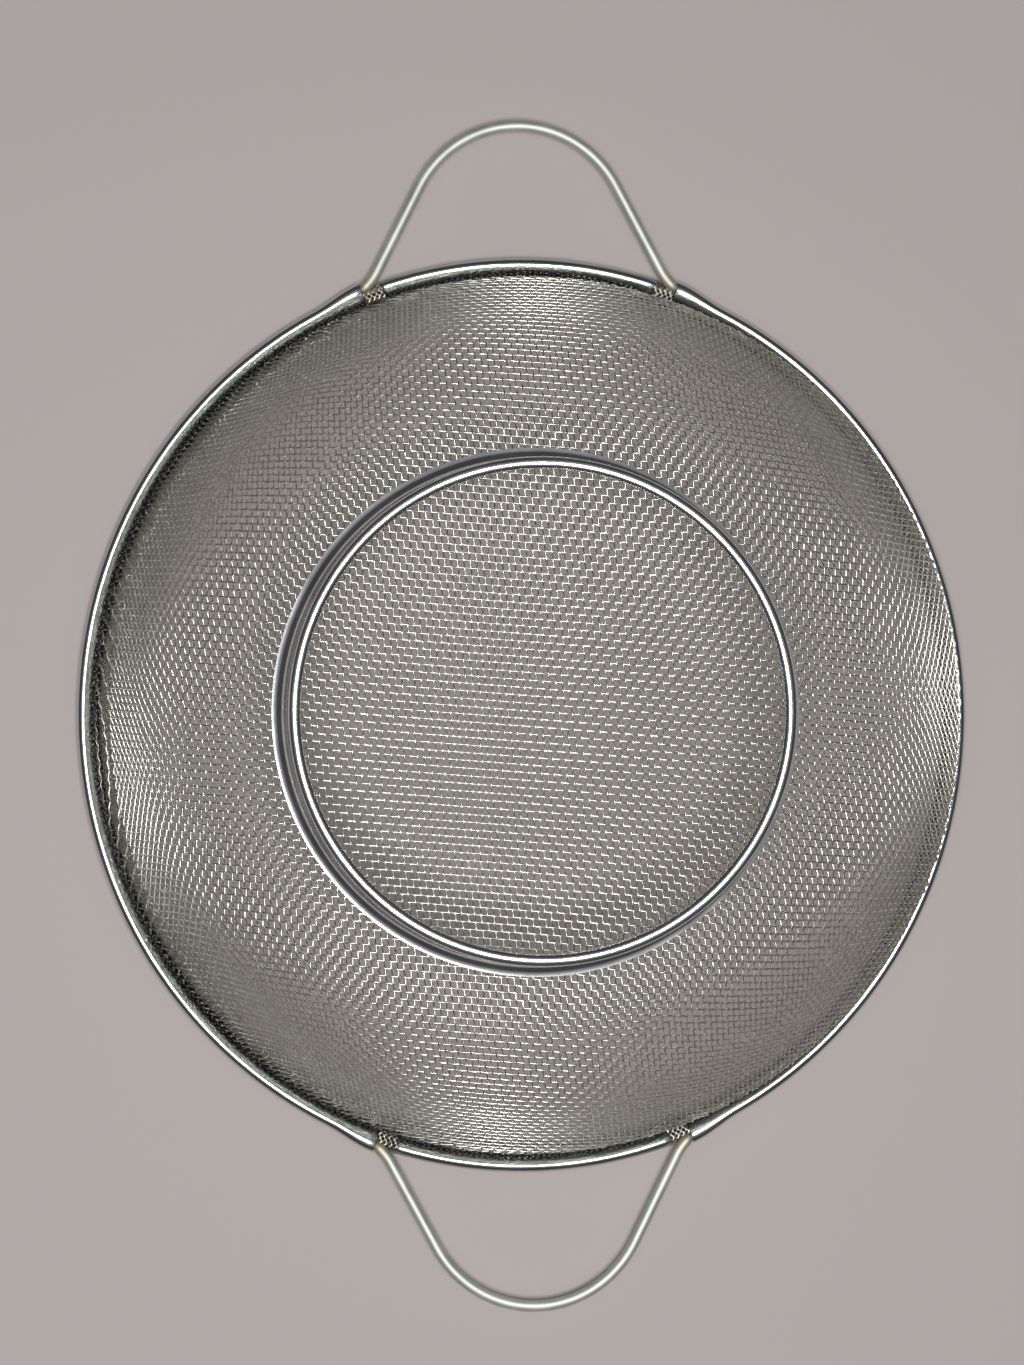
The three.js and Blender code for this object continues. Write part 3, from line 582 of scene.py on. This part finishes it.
bead_radius, bead_circle, bead_height, bead_flatness = 1.6, 61.7, 69.3, 0.75
flare_radius, flare_turn, flare_height = 3.3, 83.5, 57.06
lip_width, lip_fall, base_lean = 0.5, 0.057, 0.6
bead_centre = (bead_circle * mm, 0, bead_height * mm)
bpy.ops.object.select_all(action="DESELECT")
bpy.ops.mesh.primitive_circle_add(vertices=36, radius=bead_radius * mm, rotation=(math.pi / 2, 0, 0),
                                  location=bead_centre)
bpy.ops.object.transform_apply(location=True, rotation=True, scale=True)
foot_ring = bpy.context.object
foot_ring.name = "polished_foot_ring"
bpy.ops.object.mode_set(mode="EDIT")
bpy.ops.transform.resize(value=(1, 1, bead_flatness), center_override=bead_centre)
pick(lambda point: point.x > bead_circle + bead_radius / 2 and point.z < bead_height - 0.1)
bpy.ops.mesh.delete(type="VERT")
pick(lambda point: point.x > bead_circle + bead_radius - 0.01)
bpy.ops.mesh.extrude_region_move(
    TRANSFORM_OT_translate={"value": (0, 0, (flare_height - bead_height) * mm)})
bpy.ops.mesh.spin(steps=12, angle=math.radians(flare_turn), axis=(0, 1, 0),
                  center=((bead_circle + bead_radius + flare_radius) * mm, 0, flare_height * mm))
bpy.ops.mesh.extrude_region_move(TRANSFORM_OT_translate={"value": (lip_width * mm, 0, -lip_fall * mm)})
bpy.ops.mesh.select_all(action="SELECT")
bpy.ops.mesh.spin(steps=180, angle=2 * math.pi, center=(0, 0, 0), axis=(0, 0, 1))
bpy.ops.mesh.select_all(action="SELECT")
bpy.ops.mesh.remove_doubles(threshold=0.01 * mm)
bpy.ops.mesh.normals_make_consistent(inside=False)
bpy.ops.object.mode_set(mode="OBJECT")


def leaning(places):
    """The base stands a little off-centre under the bead."""
    share = np.clip((bead_height - places[:, 2] / mm) / (bead_height - flare_height), 0, 1)
    lean = base_lean * mm * share
    return places - np.stack([lean, 0 * lean, 0 * lean], 1)


reshape(foot_ring, leaning)
thickness = foot_ring.modifiers.new("thickness", "SOLIDIFY")
thickness.thickness = 0.6 * mm
thickness.offset = -1
apply_all(foot_ring)
bpy.ops.object.shade_smooth_by_angle(angle=math.radians(40))
foot_ring.data.materials.append(mirror_steel)
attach(foot_ring, "root")
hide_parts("foot_ring")

# Floor and light: a pale plain floor, a lamp overhead in front of a broad dim ceiling, and an even room.
# Away from the object's shadow the floor is shown evenly lit as far as the horizon.
bpy.ops.object.select_all(action="DESELECT")
bpy.ops.mesh.primitive_plane_add(size=40)
floor = bpy.context.object
floor.name = "floor"
paper = bpy.data.materials.new("floor_paper")
paper.use_nodes = True
paper_colour = (0.44, 0.4, 0.388, 1)
shader = paper.node_tree.nodes["Principled BSDF"]
shader.inputs["Base Color"].default_value = paper_colour
shader.inputs["Roughness"].default_value = 0.9
shader.inputs["Specular IOR Level"].default_value = 0.2
ground = Finish(paper.node_tree)
place = ground.node("TexCoord", {}, {}, "Object")
distance = ground.node("VectorMath", {"operation": "LENGTH"}, {0: place}, "Value")
away = ground.node("MapRange", {"interpolation_type": "SMOOTHSTEP"},
                   {"Value": distance, "From Min": 0.2, "From Max": 0.6, "To Min": 0.0, "To Max": 1.0})
seen = ground.node("LightPath", {}, {}, "Is Camera Ray") + ground.node("LightPath", {}, {}, "Is Glossy Ray")
even = ground.node("Emission", {}, {"Color": paper_colour, "Strength": 0.95})
lit = Finish(paper.node_tree, shader.outputs[0])
shown_floor = ground.node("MixShader", {}, {0: away * seen, 1: lit, 2: even})
surface = paper.node_tree.nodes["Material Output"].inputs["Surface"]
paper.node_tree.links.new(shown_floor.socket, surface)
floor.data.materials.append(paper)

lamp_x, lamp_tilt = -0.05, -0.084
for above, size, energy in ((1.3, 0.46, 15.0), (1.6, 2.4, 2.5)):
    bpy.ops.object.light_add(type="AREA", location=(lamp_x, lamp_tilt * above, above))
    lamp = bpy.context.object
    lamp.data.shape = "DISK"
    lamp.data.size = size
    lamp.data.energy = energy
room = bpy.data.worlds.new("room")
bpy.context.scene.world = room
room.use_nodes = True
room.node_tree.nodes["Background"].inputs["Color"].default_value = (0.06, 0.06, 0.063, 1)
bpy.context.scene.view_settings.view_transform = "Standard"
